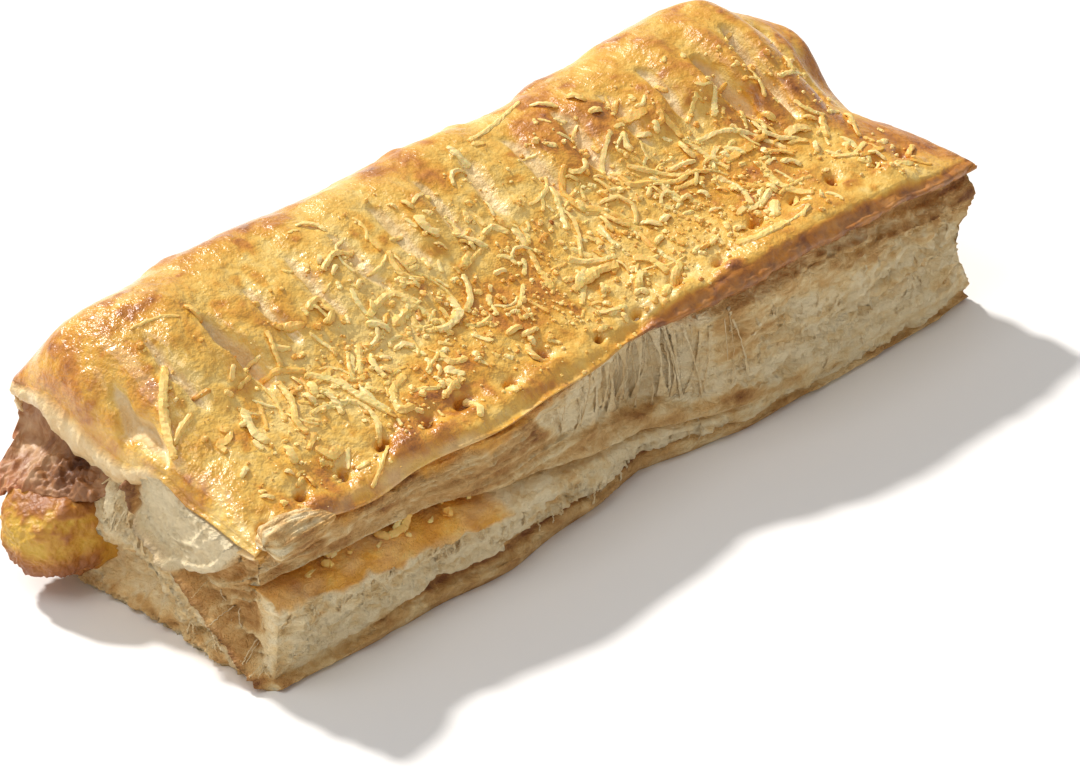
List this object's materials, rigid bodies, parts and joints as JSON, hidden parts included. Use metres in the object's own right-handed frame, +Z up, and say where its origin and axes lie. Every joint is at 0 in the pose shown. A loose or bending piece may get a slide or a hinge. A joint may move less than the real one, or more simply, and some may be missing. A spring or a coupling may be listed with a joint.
{
  "type": "ham and cheese puff pastry",
  "caption": "Long parcel of risen puff pastry with a slashed, glazed top and grated cheese, baked round ham and a cheese sauce that swells out of one end.",
  "frame": {"origin": "on the table under the middle of the pastry's bounding box", "axes": "+X along the pastry, away from the end where the sauce swells out; +Y towards its plain folded back, so that -Y is the front wall with the seam; +Z up"},
  "size_m": [0.1736, 0.0655, 0.046],
  "materials": {
    "pastry": "satin",
    "cheese_sauce": "satin",
    "ham": "satin"
  },
  "bodies": {
    "root": {"pastry": "pastry", "cheese_sauce": "cheese_sauce", "ham": "ham"}
  },
  "joints": []
}
